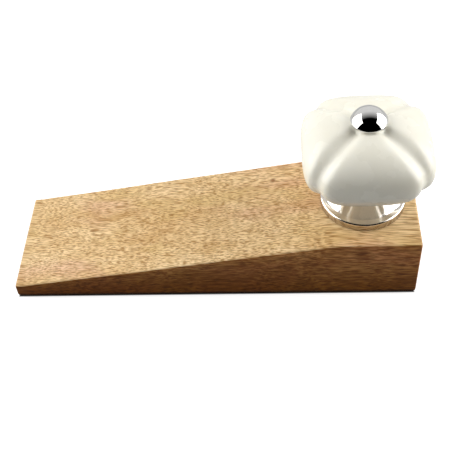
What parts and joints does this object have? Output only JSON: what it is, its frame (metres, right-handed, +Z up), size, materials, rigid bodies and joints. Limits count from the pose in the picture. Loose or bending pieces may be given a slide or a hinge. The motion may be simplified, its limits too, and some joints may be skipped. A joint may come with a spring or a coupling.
{
  "type": "door wedge with knob handle",
  "caption": "Low wooden wedge for holding a door open, with a lobed white ceramic knob on a flared chromed base as a handle on its thick end.",
  "frame": {"origin": "centre of the block's flat underside, on the floor", "axes": "+X along the block from the thin toe to the thick heel, +Y across it, +Z up"},
  "size_m": [0.148, 0.044, 0.0671],
  "materials": {
    "block_wood": "sanded and waxed hardwood, fine dark pores, satin",
    "bright_chrome": "polished chrome plate",
    "cushion_rubber": "matt black",
    "white_glaze": "gloss white glaze, faintly warm",
    "washer_nylon": "natural nylon, satin",
    "plated_steel": "bright zinc-plated steel"
  },
  "bodies": {
    "wedge": {"wedge_block": "block_wood", "base_rosette": "bright_chrome", "cushion_ring": "cushion_rubber", "clamp_stud": "plated_steel", "cap_washer": "washer_nylon", "dome_cap": "bright_chrome", "flat_washer": "plated_steel", "hex_nut": "plated_steel"},
    "knob": {"ceramic_knob": "white_glaze"}
  },
  "joints": [
    {"name": "knob_turn", "type": "hinge", "parent": "wedge", "child": "knob", "pos_m": [0.0537, 0, 0.05], "axis": [0, 0, 1], "continuous": true}
  ]
}
